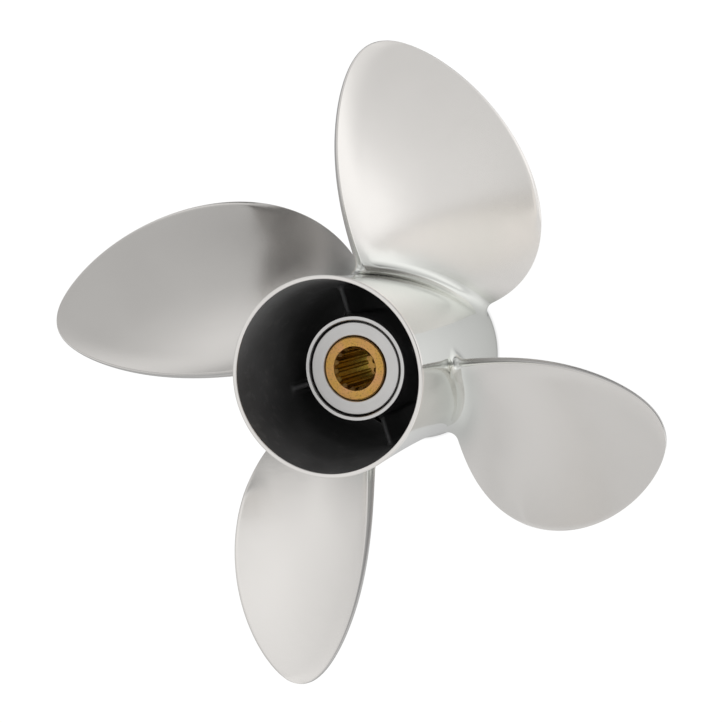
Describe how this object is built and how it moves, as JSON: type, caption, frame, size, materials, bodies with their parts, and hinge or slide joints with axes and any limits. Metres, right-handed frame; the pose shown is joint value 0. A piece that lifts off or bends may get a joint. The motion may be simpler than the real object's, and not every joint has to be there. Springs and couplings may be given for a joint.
{
  "type": "boat propeller",
  "caption": "Right-hand, raked boat propeller with broad polished blades on a barrel that lets exhaust out through its hub, and a rubber-mounted, splined brass sleeve.",
  "frame": {"origin": "centre of the barrel's forward rim, the ring that the propeller stands on, on the shaft axis", "axes": "+Z points aft along the shaft; the root of blade_1 is centred on +Y and that of blade_4 on +X"},
  "size_m": [0.3448, 0.3448, 0.146],
  "materials": {
    "polished_stainless": "polished",
    "exhaust_coat": "matte",
    "machined_steel": "satin",
    "black_rubber": "matte",
    "ring_steel": "satin",
    "brass": "satin"
  },
  "bodies": {
    "root": {"outer_barrel": "polished_stainless", "blade_1": "polished_stainless", "blade_2": "polished_stainless", "blade_3": "polished_stainless", "blade_4": "polished_stainless", "rib_1": "exhaust_coat", "rib_2": "exhaust_coat", "rib_3": "exhaust_coat", "rib_4": "exhaust_coat", "inner_hub_tube": "machined_steel", "rubber_bushing": "black_rubber", "bushing_end_ring": "ring_steel", "splined_sleeve": "brass"}
  },
  "joints": []
}
